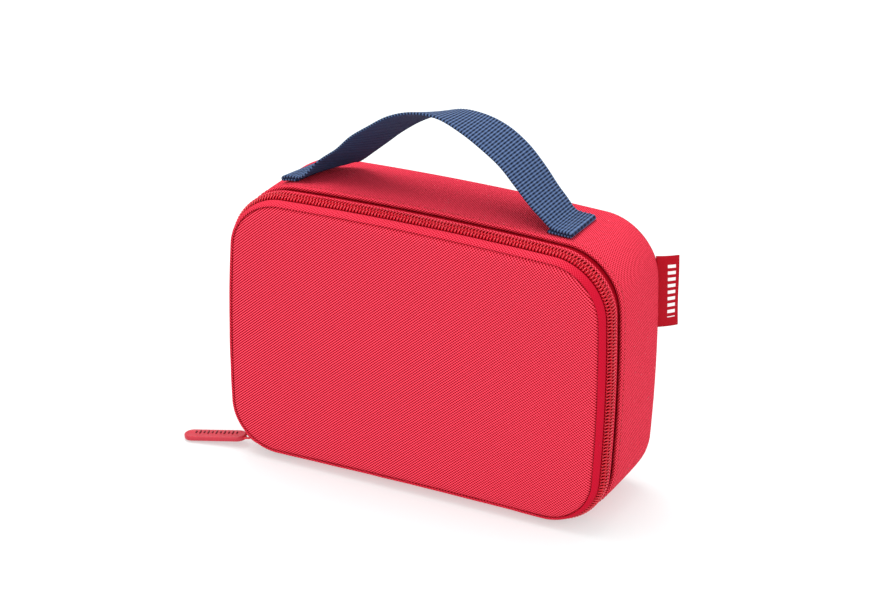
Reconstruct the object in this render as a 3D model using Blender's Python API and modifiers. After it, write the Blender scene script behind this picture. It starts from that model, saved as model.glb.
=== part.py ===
"""Soft-sided lunch box: a zipped fabric clamshell standing on its long edge, with a webbing handle on top.

Run with: blender --background --python part.py
Metres, +X to the right, +Y from the front to the back, +Z up. The origin is in the middle of the underside.
Every band and panel follows one rounded outline in the X-Z plane. A point of a section is given as
(inset, depth): how far it lies inside that outline, and how far behind the front plane.
"""

from math import cos, radians, sin, sqrt, tan

import bmesh
import bpy
from mathutils import Matrix, Vector

MM = 0.001

# Driving dimensions
WIDTH = 225 * MM
HEIGHT = 157 * MM
DEPTH = 78 * MM
CORNER_RADIUS = 31 * MM
SIDE_BULGE = 3.4 * MM
TOP_BULGE = 3.4 * MM
GAP = 0.3 * MM

FRONT = -DEPTH / 2
ARC_STEPS = 8
SIDE_STEPS = 4
TOP_STEPS = 6

# The zip: its two rows meet at PARTING, and it runs round all but the middle of the underside
PARTING = 10.1 * MM
ZIP_END_X = 75 * MM
HINGE_STRIP_END_X = 73.5 * MM
STOP_ANGLES = (242, 245)
COIL_START_ANGLE = 241
SLIDER_ANGLE = 230
SLIDER_HALF_ANGLE = 10

# The lid folds at the seam along its lower edge
LID_HINGE = Vector((0, FRONT + 3.5 * MM, 3.5 * MM))

# The handle
WEBBING_WIDTH = 32 * MM
WEBBING_THICKNESS = 1.4 * MM
HANDLE_X = -5.2 * MM
HANDLE_Y = FRONT + 43 * MM
HANDLE_LAYER_STEP = 1.7 * MM
SEWN_END_OUTER = 87.2 * MM
SEWN_END_INNER = 76 * MM
# Half of the arch: distance from the handle's middle, height above the top of the case
ARCH_MM = ((75.6, 3.0), (71.8, 5.0), (68, 8.8), (62, 17), (55.5, 25), (46, 33), (31, 42), (15, 48), (0, 50))
ARCH_STEPS = 4
HANDLE_AXIS_HEIGHT = 2.4 * MM
HANDLE_LEAN = radians(50)

# The zip pull hangs from the slider's bail, and its far end rests on the ground
PULL_AXIS_DEPTH = 12.1 * MM
PULL_AXIS_RISE = 2.6 * MM
PULL_YAW = radians(195.5)
PULL_LENGTH = 36 * MM
PULL_WIDTH = 10 * MM
PULL_THICKNESS = 3 * MM
PULL_START = 4.4 * MM
LINK_LENGTH = 12 * MM
LINK_WIDTH = 5.2 * MM
LINK_RADIUS = 0.6 * MM

# The woven tag in the back seam
TAG_BOTTOM = 97 * MM
TAG_HEIGHT = 42 * MM
TAG_REACH = 8.6 * MM
TAG_THICKNESS = 0.5 * MM

# Colours are linear RGB
RED_FABRIC = (0.66, 0.018, 0.045)
RED_TAPE = (0.55, 0.012, 0.030)
RED_PLASTIC = (0.72, 0.035, 0.060)
NAVY_WEBBING = (0.035, 0.075, 0.190)
GREY_LINING = (0.55, 0.56, 0.57)
GREY_BINDING = (0.20, 0.20, 0.21)
WHITE_FOAM = (0.80, 0.80, 0.78)


def clear_scene():
    for obj in list(bpy.data.objects):
        bpy.data.objects.remove(obj)


def collection(name):
    made = bpy.data.collections.new(name)
    bpy.context.scene.collection.children.link(made)
    return made


def material(name, colour, roughness, metallic=0.0):
    made = bpy.data.materials.new(name)
    made.use_nodes = True
    shader = made.node_tree.nodes["Principled BSDF"]
    shader.inputs["Base Color"].default_value = (*colour, 1)
    shader.inputs["Roughness"].default_value = roughness
    shader.inputs["Metallic"].default_value = metallic
    return made


def bulged(x, z):
    """A point of the flat-sided outline, moved out with the slack of the padded sides and top."""
    across = x / (WIDTH / 2)
    up = (z - HEIGHT / 2) / (HEIGHT / 2)
    side = SIDE_BULGE * max(0, 1 - up * up) * across
    top = TOP_BULGE * max(0, 1 - across * across) * max(0, up)
    return x + side, z + top


def corner(side_x, side_z, start, end, steps=ARC_STEPS):
    """Stations (x, z, normal x, normal z) round one corner; side_x and side_z are -1 or 1."""
    centre_x = side_x * (WIDTH / 2 - CORNER_RADIUS)
    centre_z = HEIGHT / 2 + side_z * (HEIGHT / 2 - CORNER_RADIUS)
    stations = []
    for step in range(steps + 1):
        angle = radians(start + (end - start) * step / steps)
        nx, nz = cos(angle), sin(angle)
        stations.append((centre_x + CORNER_RADIUS * nx, centre_z + CORNER_RADIUS * nz, nx, nz))
    return stations


def between(first, last, steps):
    """Stations strictly between two stations of one straight side."""
    fractions = [step / steps for step in range(1, steps)]
    return [
        (first[0] + (last[0] - first[0]) * f, first[1] + (last[1] - first[1]) * f, first[2], first[3])
        for f in fractions
    ]


def zip_path(lower_left_angle=270):
    """From the underside at the lower left, up, over the top and down to the underside at the right."""
    lower_left = corner(-1, -1, lower_left_angle, 180)
    upper_left = corner(-1, 1, 180, 90)
    upper_right = corner(1, 1, 90, 0)
    lower_right = corner(1, -1, 0, -90)
    path = [(-ZIP_END_X, 0, 0, -1)] if lower_left_angle == 270 else []
    path += lower_left + between(lower_left[-1], upper_left[0], SIDE_STEPS)
    path += upper_left + between(upper_left[-1], upper_right[0], TOP_STEPS)
    path += upper_right + between(upper_right[-1], lower_right[0], SIDE_STEPS)
    return path + lower_right + [(ZIP_END_X, 0, 0, -1)]


def outline():
    """The whole rounded outline as a closed path."""
    path = zip_path()[1:-1]
    return path + between(path[-1], path[0], TOP_STEPS)


def add(name, mesh, where, finish, pivot=None):
    """A named object; with a pivot, its origin is on that joint's axis, under the axis's empty."""
    obj = bpy.data.objects.new(name, mesh)
    where.objects.link(obj)
    if finish is not None:
        mesh.materials.append(finish)
    if pivot is not None:
        mesh.transform(Matrix.Translation(-pivot.location))
        obj.parent = pivot
    return obj


def swept_mesh(name, sections, closed_sections, closed_path):
    """Faces between neighbouring sections, each a list of points, with caps at any open end."""
    bm = bmesh.new()
    rings = [[bm.verts.new(point) for point in section] for section in sections]
    count = len(rings[0])
    followers = rings[1:] + (rings[:1] if closed_path else [])
    for ring, following in zip(rings, followers):
        for i in range(count if closed_sections else count - 1):
            j = (i + 1) % count
            bm.faces.new((ring[i], ring[j], following[j], following[i]))
    if closed_sections and not closed_path:
        bm.faces.new(rings[0])
        bm.faces.new(rings[-1])
    bmesh.ops.recalc_face_normals(bm, faces=bm.faces)
    mesh = bpy.data.meshes.new(name)
    bm.to_mesh(mesh)
    bm.free()
    return mesh


def section_points(station, profile_mm):
    x, z, nx, nz = station
    points = []
    for inset, depth in profile_mm:
        px, pz = bulged(x - nx * inset * MM, z - nz * inset * MM)
        points.append((px, FRONT + depth * MM, pz))
    return points


def band(name, profile_mm, path=None):
    """A strip of one section, along the whole outline or an open path of it."""
    stations = path or outline()
    sections = [section_points(station, profile_mm) for station in stations]
    return swept_mesh(name, sections, True, path is None)


def panel(name, rings_mm):
    """A closed shell from rings (inset, depth) of the outline, capped at its first and last ring."""
    path = outline()
    sections = [[section_points(station, [ring])[0] for station in path] for ring in rings_mm]
    return swept_mesh(name, sections, True, False)


def strip(name, line, direction, length, steps=1):
    """An open surface: a line of points drawn out along a direction."""
    sections = [[point + direction * (length * step / steps) for point in line] for step in range(steps + 1)]
    return swept_mesh(name, sections, False, False)


def thicken(obj, thickness):
    solid = obj.modifiers.new("Thickness", "SOLIDIFY")
    solid.thickness = thickness
    solid.offset = 0
    solid.use_even_offset = True


def joint_empty(name, location, where):
    empty = bpy.data.objects.new(name, None)
    empty.location = location
    where.objects.link(empty)
    return empty


def combine(obj, other_mesh, operation, helpers):
    helper = add(obj.name + "_" + operation.lower(), other_mesh, helpers, None)
    helper.parent = obj.parent
    helper.hide_render = True
    helper.display_type = "WIRE"
    boolean = obj.modifiers.new(operation.title(), "BOOLEAN")
    boolean.operation = operation
    boolean.solver = "EXACT"
    boolean.object = helper


def build_body(where, finishes):
    """The deep half: fabric band and back, foam, lining, and the bound seam inside."""
    red, foam, lining = finishes["fabric"], finishes["foam"], finishes["lining"]
    add("body_gusset", band("body_gusset", [(0, 18.8), (0, 75), (1, 75), (1, 18.8)]), where, red)
    back_outside = [(14, 78), (5, 77.9), (2.4, 77.5), (0.8, 76.6), (0, 75.3)]
    back_inside = [(1.2, 75.3), (1.8, 76), (3.2, 76.7), (14, 76.8)]
    add("back_panel", panel("back_panel", back_outside + back_inside), where, red)
    wall_foam = [(1.3, 19.2), (1.3, 72.7), (4.8, 72.7), (4.8, 19.2)]
    add("body_gusset_foam", band("body_gusset_foam", wall_foam), where, foam)
    add("back_foam", panel("back_foam", [(1.7, 73), (1.7, 74.8), (3.8, 76.4)]), where, foam)
    liner_outside = [(3.1, 12), (3.1, 18.8), (5.1, 18.8), (5.1, 72.7)]
    liner_inside = [(5.7, 72.1), (5.7, 18.2), (3.7, 18.2), (3.7, 12)]
    add("body_lining", lining_tub("body_lining", liner_outside + liner_inside), where, lining)
    binding = [(6.1, 69.6), (6.1, 71.7), (8.2, 71.7), (8.2, 70.9), (7.2, 69.6)]
    add("body_seam_binding", band("body_seam_binding", binding), where, finishes["binding"])


def lining_tub(name, liner):
    """The lining as an open tub: outer rings, the closed far end, and inner rings back to the mouth."""
    path = outline()
    sections = [[section_points(station, [ring])[0] for station in path] for ring in liner]
    bm = bmesh.new()
    rings = [[bm.verts.new(point) for point in section] for section in sections]
    count = len(path)
    mouth_pair = (rings[-1], rings[0])
    walls = [(a, b) for a, b in zip(rings, rings[1:]) if a is not rings[3]] + [mouth_pair]
    for ring, following in walls:
        for i in range(count):
            j = (i + 1) % count
            bm.faces.new((ring[i], ring[j], following[j], following[i]))
    bm.faces.new(rings[3])
    bm.faces.new(rings[4])
    bmesh.ops.recalc_face_normals(bm, faces=bm.faces)
    mesh = bpy.data.meshes.new(name)
    bm.to_mesh(mesh)
    bm.free()
    return mesh


def build_lid(where, finishes, pivot):
    """The shallow half: padded front, its narrow fabric strip, foam, lining and bound seam."""
    front = [(14, 0), (8, 0.1), (5.8, 0.4), (5, 0.9), (6.2, 1.4), (8.6, 1.1), (14, 1)]
    add("lid_front_panel", panel("lid_front_panel", front), where, finishes["fabric"], pivot)
    edge = [(4.9, 1.3), (3, 5.7), (4, 5.7), (5.9, 1.75)]
    add("lid_gusset", band("lid_gusset", edge), where, finishes["fabric"], pivot)
    pad = [(9.5, 1.4), (7.6, 1.5), (6.5, 2.2), (6.5, 5.4)]
    add("lid_foam", panel("lid_foam", pad), where, finishes["foam"], pivot)
    liner = [(14, 5.7), (5.5, 5.7), (5.0, 6.6), (3.9, 9), (4.5, 9), (5.6, 6.7), (6.2, 6.3), (14, 6.3)]
    add("lid_lining", panel("lid_lining", liner), where, finishes["lining"], pivot)
    binding = [(6.6, 6.7), (8.6, 6.7), (7.8, 7.9), (6.2, 8.2)]
    add("lid_seam_binding", band("lid_seam_binding", binding), where, finishes["binding"], pivot)


def build_zip(where, finishes, lid_axis):
    """A tape and a coil on each side of the parting, the end stops, and the fabric hinge between the ends."""
    tape, coil, plastic = finishes["tape"], finishes["coil"], finishes["plastic"]
    whole, toothed = zip_path(), zip_path(COIL_START_ANGLE)
    body_tape = [(2.05, 10.9), (1.85, 14), (0.75, 15.2), (0.6, 18.4)]
    body_tape += [(1.3, 18.4), (1.45, 15.6), (2.55, 14.3), (2.75, 10.9)]
    lid_tape = [(4.9, 4.3), (4.35, 5.7), (3.95, 6.3), (2.64, 9.3)]
    lid_tape += [(3.34, 9.3), (4.65, 6.3), (5.05, 5.7), (5.6, 4.3)]
    add("body_zip_tape", band("body_zip_tape", body_tape, whole), where, tape)
    add("lid_zip_tape", band("lid_zip_tape", lid_tape, whole), where, tape, lid_axis)
    body_row = [(0.55, 10.7), (0.3, 13.9), (1.5, 13.9), (1.75, 10.7)]
    lid_row = [(2.35, 6.3), (0.95, 9.5), (2.25, 9.5), (3.65, 6.3)]
    add("body_zip_coil", band("body_zip_coil", body_row, toothed), where, coil)
    add("lid_zip_coil", band("lid_zip_coil", lid_row, toothed), where, coil, lid_axis)
    stop_path = corner(-1, -1, STOP_ANGLES[1], STOP_ANGLES[0], 1)
    add("zip_end_stop_body", band("zip_end_stop_body", body_row, stop_path), where, plastic)
    add("zip_end_stop_lid", band("zip_end_stop_lid", lid_row, stop_path), where, plastic, lid_axis)
    hinge = [(3.5, 6.05), (2.2, 10), (0.3, 14), (0, 16.5), (0, 18.4)]
    hinge += [(1, 18.4), (1, 16.7), (1.2, 14.6), (3.2, 10.6), (4.5, 6.4)]
    hinge_path = [(x, 0, 0, -1) for x in (HINGE_STRIP_END_X, -HINGE_STRIP_END_X)]
    add("hinge_strip", band("hinge_strip", hinge, hinge_path), where, finishes["fabric"])


def circle_centre(a, b, c):
    """Centre of the circle through three (x, z) points."""
    a, b, c = Vector(a), Vector(b), Vector(c)
    first, second = b - a, c - b
    mid_first, mid_second = (a + b) / 2, (b + c) / 2
    cross = first.x * second.y - first.y * second.x
    right_first, right_second = first.dot(mid_first), second.dot(mid_second)
    x = (right_first * second.y - right_second * first.y) / cross
    z = (right_second * first.x - right_first * second.x) / cross
    return x, z


def slider_centre():
    """The slider follows the bulged lower left corner, which is still close to an arc."""
    stations = corner(-1, -1, SLIDER_ANGLE, 180, 2)
    return circle_centre(*(bulged(x, z) for x, z, _, _ in stations))


def slider_arc(start_offset, end_offset, steps=4):
    return corner(-1, -1, SLIDER_ANGLE + start_offset, SLIDER_ANGLE + end_offset, steps)


def build_slider(where, helpers, finishes, pivot):
    """A plate over both rows, a wedge between them, a short plate behind the body's row, and the bail."""
    plate = [(0, 6.6), (0, 13.6), (-0.8, 13.2), (-0.8, 7)]
    wedge = [(-0.4, 9.75), (3.6, 9.75), (3.6, 10.45), (-0.4, 10.45)]
    behind = [(3.15, 9.75), (3.15, 11.6), (4.1, 11.6), (4.1, 9.75)]
    bail = [(-0.4, 11.2), (-4.5, 11.4), (-4.5, 12.8), (-0.4, 13)]
    bail_hole = [(-1.5, 10), (-3.6, 10), (-3.6, 14), (-1.5, 14)]
    whole_arc = slider_arc(-SLIDER_HALF_ANGLE, SLIDER_HALF_ANGLE)
    bail_mesh = band("zip_slider_bail", bail, slider_arc(-5, 5))
    obj = add("zip_slider_bail", bail_mesh, helpers, finishes["coil"])
    combine(obj, band("bail_hole", bail_hole, slider_arc(-3.4, 3.4)), "DIFFERENCE", helpers)
    bpy.context.view_layer.update()
    graph = bpy.context.evaluated_depsgraph_get()
    cut_bail = bpy.data.meshes.new_from_object(obj.evaluated_get(graph))
    bpy.data.objects.remove(obj)
    slider = add("zip_slider", band("zip_slider", plate, whole_arc), where, finishes["coil"], pivot)
    wedge_mesh = band("wedge", wedge, slider_arc(-4, 9))
    for mesh in (cut_bail, wedge_mesh, band("behind", behind, whole_arc)):
        mesh.transform(Matrix.Translation(-pivot.location))
        combine(slider, mesh, "UNION", helpers)


def pull_frame(axis_point):
    """Along the pull, across it, and its upward normal; its far end lies on the ground."""
    drop = axis_point.z - PULL_THICKNESS / 2 - GAP
    reach = PULL_START + PULL_LENGTH - PULL_THICKNESS / 2
    pitch = -drop / reach
    along = Vector((cos(PULL_YAW), sin(PULL_YAW), pitch)).normalized()
    across = Vector((-sin(PULL_YAW), cos(PULL_YAW), 0))
    return along, across, along.cross(across) * (1 if along.cross(across).z > 0 else -1)


def oriented(axis_point, frame):
    """The matrix that takes x along the pull, y across it and z up out of it."""
    along, across, up = frame
    rotation = Matrix((along, up.cross(along), up)).transposed().to_4x4()
    return Matrix.Translation(axis_point) @ rotation


def racetrack(length, width, steps=6):
    """Points of a flat oval whose near end is at x = 0."""
    radius = width / 2
    points = []
    for middle, start in ((length - radius, -90), (radius, 90)):
        for step in range(steps + 1):
            angle = radians(start + 180 * step / steps)
            points.append(Vector((middle + radius * cos(angle), radius * sin(angle), 0)))
    return points


def wire_loop_mesh(name, points, radius):
    curve = bpy.data.curves.new(name, "CURVE")
    curve.dimensions = "3D"
    curve.bevel_depth = radius
    curve.bevel_resolution = 2
    spline = curve.splines.new("POLY")
    spline.points.add(len(points) - 1)
    for point, place in zip(spline.points, points):
        point.co = (*place, 1)
    spline.use_cyclic_u = True
    guide = bpy.data.objects.new(name, curve)
    bpy.context.scene.collection.objects.link(guide)
    bpy.context.view_layer.update()
    graph = bpy.context.evaluated_depsgraph_get()
    mesh = bpy.data.meshes.new_from_object(guide.evaluated_get(graph))
    bpy.data.objects.remove(guide)
    return mesh


def tab_mesh():
    """A long rounded tab with a raised rim all round its two faces."""
    outline_points = racetrack(PULL_LENGTH, PULL_WIDTH, 8)
    half = PULL_THICKNESS / 2
    face = ((2, 0.75), (1.6, 0.8), (1.2, 1), (0.4, 1), (0, 0.7))
    other_face = tuple((inset_mm, -level) for inset_mm, level in reversed(face))
    sections = []
    for inset_mm, level in face + other_face:
        shrink_x = 1 - 2 * inset_mm * MM / PULL_LENGTH
        shrink_y = 1 - 2 * inset_mm * MM / PULL_WIDTH
        middle = PULL_LENGTH / 2
        sections.append([
            Vector((PULL_START + middle + (p.x - middle) * shrink_x, p.y * shrink_y, level * half))
            for p in outline_points
        ])
    return swept_mesh("pull_tab", sections, True, False)


def build_pull(where, helpers, finishes, pivot):
    """The wire link through the bail, and the tab moulded round the link's far end."""
    frame = oriented(pivot.location, pull_frame(pivot.location))
    link_points = racetrack(LINK_LENGTH, LINK_WIDTH)
    link_mesh = wire_loop_mesh("pull_link", link_points, LINK_RADIUS)
    pocket = wire_loop_mesh("pull_tab_pocket", link_points, LINK_RADIUS + GAP)
    tab = tab_mesh()
    for mesh in (link_mesh, pocket, tab):
        mesh.transform(frame)
    add("pull_link", link_mesh, where, finishes["coil"], pivot)
    tab_object = add("pull_tab", tab, where, finishes["plastic"], pivot)
    pocket.transform(Matrix.Translation(-pivot.location))
    combine(tab_object, pocket, "DIFFERENCE", helpers)


def smooth_line(points, steps):
    """A Catmull-Rom curve through the points."""
    padded = [points[0] * 2 - points[1], *points, points[-1] * 2 - points[-2]]
    line = []
    for a, b, c, d in zip(padded, padded[1:], padded[2:], padded[3:]):
        for step in range(steps):
            t = step / steps
            cubic = (b * 3 - a - c * 3 + d) * t**3
            square = (a * 2 - b * 5 + c * 4 - d) * t**2
            line.append((b * 2 + (c - a) * t + square + cubic) / 2)
    return line + [points[-1]]


def on_top(offset_x, height):
    """A point on the handle's front edge: its distance to the handle's middle, its height above the case."""
    past_straight = max(0, abs(HANDLE_X + offset_x) - WIDTH / 2 + CORNER_RADIUS)
    drop = CORNER_RADIUS - sqrt(CORNER_RADIUS**2 - past_straight**2)
    x, z = bulged(HANDLE_X + offset_x, HEIGHT - drop)
    return Vector((x, HANDLE_Y - WEBBING_WIDTH / 2, z + height))


def lean_clearance(pivot):
    """What is cut from the foot of each leg, so that it leans either way without reaching the case."""
    half, depth, reach = 20 * MM, 8 * MM, 100 * MM
    rise = half * tan(HANDLE_LEAN)
    shape = ((-half, GAP + rise), (0, GAP), (half, GAP + rise), (half, -depth), (-half, -depth))
    sections = [[Vector((x, y, z)) + pivot.location for y, z in shape] for x in (-reach, reach)]
    return swept_mesh("lean_clearance", sections, True, False)


def build_handle(where, helpers, finishes, pivot):
    """The webbing arch, and its two ends, folded under and sewn flat to the top."""
    half = [Vector((x, height)) * MM for x, height in ARCH_MM]
    arch = half + [Vector((-p.x, p.y)) for p in reversed(half[:-1])]
    line = [on_top(p.x, p.y) for p in smooth_line(arch, ARCH_STEPS)]
    across = Vector((0, 1, 0))
    webbing = strip("handle_webbing", line, across, WEBBING_WIDTH)
    arch_object = add("handle_webbing", webbing, where, finishes["webbing"], pivot)
    thicken(arch_object, WEBBING_THICKNESS)
    clearance = lean_clearance(pivot)
    clearance.transform(Matrix.Translation(-pivot.location))
    combine(arch_object, clearance, "DIFFERENCE", helpers)
    for side, name in ((-1, "handle_end_left"), (1, "handle_end_right")):
        lower = GAP + WEBBING_THICKNESS / 2
        radius = HANDLE_LAYER_STEP / 2
        fold = SEWN_END_OUTER - radius
        third = (fold - SEWN_END_INNER) / 3
        profile = [(SEWN_END_INNER + third * step, lower) for step in range(3)]
        for angle in (-90, -60, -30, 0, 30, 60, 90):
            bend = radians(angle)
            profile.append((fold + radius * cos(bend), lower + radius + radius * sin(bend)))
        profile += [(SEWN_END_INNER + third * step, lower + 2 * radius) for step in (2, 1, 0)]
        line = [on_top(side * x, height) for x, height in profile]
        sewn_end = add(name, strip(name, line, across, WEBBING_WIDTH), where, finishes["webbing"])
        thicken(sewn_end, WEBBING_THICKNESS)


def build_tag(where, finishes):
    """A folded strip of woven ribbon held in the seam between the right side and the back."""
    depth, radius, reach = FRONT + 75.1 * MM, 0.5 * MM, TAG_REACH - 0.5 * MM
    root = WIDTH / 2 + GAP
    plan = [(root, -radius)]
    for angle in (-90, -45, 0, 45, 90):
        plan.append((root + reach + radius * cos(radians(angle)), radius * sin(radians(angle))))
    plan.append((root, radius))
    steps = 4
    sections = []
    for step in range(steps + 1):
        z = TAG_BOTTOM + TAG_HEIGHT * step / steps
        sections.append([(bulged(root, z)[0] + x - root, depth + y, z) for x, y in plan])
    tag = add("side_tag", swept_mesh("side_tag", sections, False, False), where, finishes["tape"])
    thicken(tag, TAG_THICKNESS)


def all_finishes():
    return {
        "fabric": material("red_fabric", RED_FABRIC, 0.85),
        "tape": material("red_tape", RED_TAPE, 0.8),
        "coil": material("red_nylon_coil", RED_TAPE, 0.4),
        "plastic": material("red_soft_plastic", RED_PLASTIC, 0.45),
        "webbing": material("navy_webbing", NAVY_WEBBING, 0.75),
        "lining": material("grey_lining", GREY_LINING, 0.5),
        "binding": material("grey_binding", GREY_BINDING, 0.85),
        "foam": material("white_foam", WHITE_FOAM, 0.95),
    }


def main():
    clear_scene()
    case = collection("lunch_box")
    helpers = collection("cutters_and_additions")
    finishes = all_finishes()
    centre_x, centre_z = slider_centre()
    bail_middle = (-PULL_AXIS_RISE / MM, PULL_AXIS_DEPTH / MM)
    bail_point = section_points(slider_arc(0, 0, 1)[0], [bail_middle])[0]
    lid_axis = joint_empty("lid_hinge_axis", LID_HINGE, case)
    slider_axis = joint_empty("slider_axis", (centre_x, FRONT + PARTING, centre_z), case)
    pull_axis = joint_empty("pull_axis", bail_point, case)
    top_of_case = bulged(HANDLE_X, HEIGHT)[1]
    handle_axis = joint_empty("handle_axis", (HANDLE_X, HANDLE_Y, top_of_case + HANDLE_AXIS_HEIGHT), case)
    build_body(case, finishes)
    build_lid(case, finishes, lid_axis)
    build_zip(case, finishes, lid_axis)
    build_slider(case, helpers, finishes, slider_axis)
    build_pull(case, helpers, finishes, pull_axis)
    build_handle(case, helpers, finishes, handle_axis)
    build_tag(case, finishes)


main()
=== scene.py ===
"""The looks of the soft lunch box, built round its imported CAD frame.

Metres, +X to the right, +Y from the front to the back, +Z up. As in the CAD, every band and panel follows one
rounded outline in the X-Z plane, and a point of a section is (inset, depth) in millimetres: how far it lies
inside that outline, and how far behind the front plane.
"""

from math import cos, exp, hypot, pi, radians, sin, sqrt

import bmesh
import bpy
from mathutils import Matrix, Vector, noise


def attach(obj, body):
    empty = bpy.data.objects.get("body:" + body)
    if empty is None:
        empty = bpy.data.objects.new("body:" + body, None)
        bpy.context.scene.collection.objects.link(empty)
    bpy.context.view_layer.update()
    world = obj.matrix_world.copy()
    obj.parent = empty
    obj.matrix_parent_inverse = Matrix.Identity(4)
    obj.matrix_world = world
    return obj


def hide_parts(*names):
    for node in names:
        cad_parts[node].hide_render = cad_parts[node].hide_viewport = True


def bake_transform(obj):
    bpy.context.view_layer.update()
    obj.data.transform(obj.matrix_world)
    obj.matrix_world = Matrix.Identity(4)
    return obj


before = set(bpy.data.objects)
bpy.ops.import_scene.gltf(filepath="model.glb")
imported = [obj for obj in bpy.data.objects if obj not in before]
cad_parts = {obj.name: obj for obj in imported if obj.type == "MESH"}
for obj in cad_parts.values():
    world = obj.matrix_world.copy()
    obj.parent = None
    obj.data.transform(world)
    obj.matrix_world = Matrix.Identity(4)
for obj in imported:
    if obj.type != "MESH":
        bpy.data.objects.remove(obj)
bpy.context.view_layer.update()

MM = 0.001

# The case, as in the CAD
WIDTH = 225 * MM
HEIGHT = 157 * MM
FRONT = -39 * MM
CORNER_RADIUS = 31 * MM
SIDE_BULGE = 3.4 * MM
TOP_BULGE = 3.4 * MM
UNDERSIDE_RISE = 1.7 * MM
STRAIGHT_X = WIDTH / 2 - CORNER_RADIUS
STRAIGHT_Z = HEIGHT / 2 - CORNER_RADIUS
QUARTER = pi / 2 * CORNER_RADIUS
PERIMETER = 4 * (STRAIGHT_X + STRAIGHT_Z + QUARTER)
LEFT_MIDDLE = STRAIGHT_X + QUARTER + STRAIGHT_Z
TOP_MIDDLE = PERIMETER / 2
RIGHT_MIDDLE = PERIMETER - LEFT_MIDDLE
CLOTH = 0.9 * MM
LINING = 0.45 * MM
FRONT_EDGE_MM = 5.0
BACK_EDGE_MM = 1.6
RED_PITCH = (0.91 * MM, 0.81 * MM)
BACK_CORNER_PUFF = 1.5
SETTLE_FRAMES = 14
SETTLE_CAP = 1.2 * MM
COVER_CLOTH = {
    "quality": 8, "mass": 0.25, "tension_stiffness": 40, "compression_stiffness": 40,
    "shear_stiffness": 20, "bending_stiffness": 4, "use_pressure": True,
}

# The zip
ZIP_START = 75 * MM
ZIP_END = PERIMETER - ZIP_START
PARTING_MM = 10.1
TOPSTITCH_DEPTH_MM = 24.6
TOOTH_PITCH = 1.9 * MM
COIL_RADIUS = 0.42 * MM
COIL_START = STRAIGHT_X + radians(29) * CORNER_RADIUS
STOP_START = COIL_START - 2.2 * MM
STOP_END = COIL_START - 0.5 * MM
SLIDER_AT = STRAIGHT_X + radians(40) * CORNER_RADIUS
SLIDER_HALF = radians(10) * CORNER_RADIUS
HINGE_END_X = 73.5 * MM

# The handle
WEBBING_WIDTH = 32 * MM
WEBBING_THICKNESS = 1.4 * MM
HANDLE_Y = FRONT + 43 * MM
RIB_PITCH = 1.8 * MM
FLOAT_PITCH = 2.08 * MM
RIB_RELIEF = 0.22 * MM
RIGHT_FOLD_X = 81.2 * MM
LEFT_FOLD_X = -88.4 * MM
PAD_LAYERS_MM = (1.0, 2.7)
# The arch: x, height above the top, how far the front edge is raised in degrees, shift to the back
ARCH_MM = (
    (-76.5, 3.1, 3, 0.6), (-72.9, 5, 9, 1.8), (-68.9, 8.2, 17, 3.2), (-64.9, 10.6, 22, 4.0),
    (-56.9, 16.9, 23, 3.1), (-47.9, 25.1, 25, 1.9), (-37.9, 32.9, 23, 0.9), (-25.9, 41, 22, 0.3),
    (-12.9, 46.4, 18, 0), (1.1, 48.7, 10, 0), (15.1, 46, 1, 0), (28.1, 40.6, -5, 0), (40.1, 32.7, -6, 0),
    (50.1, 22.7, -6, 0), (58.1, 13.9, -4, -0.1), (64.1, 8.5, -2, -0.3), (68.6, 4.4, 0, -0.6),
    (71.6, 3, 1, -0.9),
)
LEFT_PAD_TURN = 13
PAD_TILT = 1
PAD_SHIFT_MM = -1.2

# The pull
PULL_AXIS = Vector((-103.501, -26.9, 5.261)) * MM
PULL_AXIS_DEPTH_MM = 12.1
PULL_YAW = radians(195.5)
PULL_START = 3.8 * MM
PULL_MARKS_Y = -1.9 * MM
PULL_LENGTH = 36.6 * MM
PULL_WIDTH = 10 * MM
PULL_THICKNESS = 3 * MM
LINK_LENGTH = 12 * MM
LINK_WIDTH = 5.2 * MM
LINK_RADIUS = 0.6 * MM
OVAL_STEPS = 14

# The tag
TAG_BOTTOM = 96.5 * MM
TAG_HEIGHT = 41 * MM
TAG_REACH = 9.9 * MM
TAG_LEAN = radians(44)
TAG_ROOT = 3 * MM
TAG_DEPTH_MM = 75.1

# Colours are linear RGB
# The red weave's lit yarns carry a painted highlight, and its dark holes are painted shade
RED_YARN_HIGHLIGHT = (1.0, 0.072, 0.128)
RED_MID = (0.80, 0.022, 0.055)
# Painted shade in the weave's holes
RED_HOLE_SHADE = (0.25, 0.0, 0.001)
# Painted shade for the right-hand side of the strip in front of the zip
EDGE_SHADE_RED = (0.48, 0.005, 0.024)
# The zip tapes' red, darkened with painted shade for the valleys behind the coil and the groove; the darkest
# is painted shade in the weave's holes
TAPE_SHADED_RED = (0.44, 0.004, 0.014)
TAPE_HOLE_SHADE = (0.10, 0.0, 0.002)
NYLON_RED = (0.70, 0.006, 0.022)
NYLON_GLOSS = (1.0, 0.40, 0.48)
PLASTIC_RED = (0.55, 0.022, 0.045)
PLASTIC_DARK = (0.14, 0.001, 0.006)
TAG_RED = (0.38, 0.001, 0.010)
TAG_MARK = (0.85, 0.82, 0.82)
NAVY_LIGHT = (0.108, 0.168, 0.315)
NAVY_MID = (0.019, 0.044, 0.118)
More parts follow.
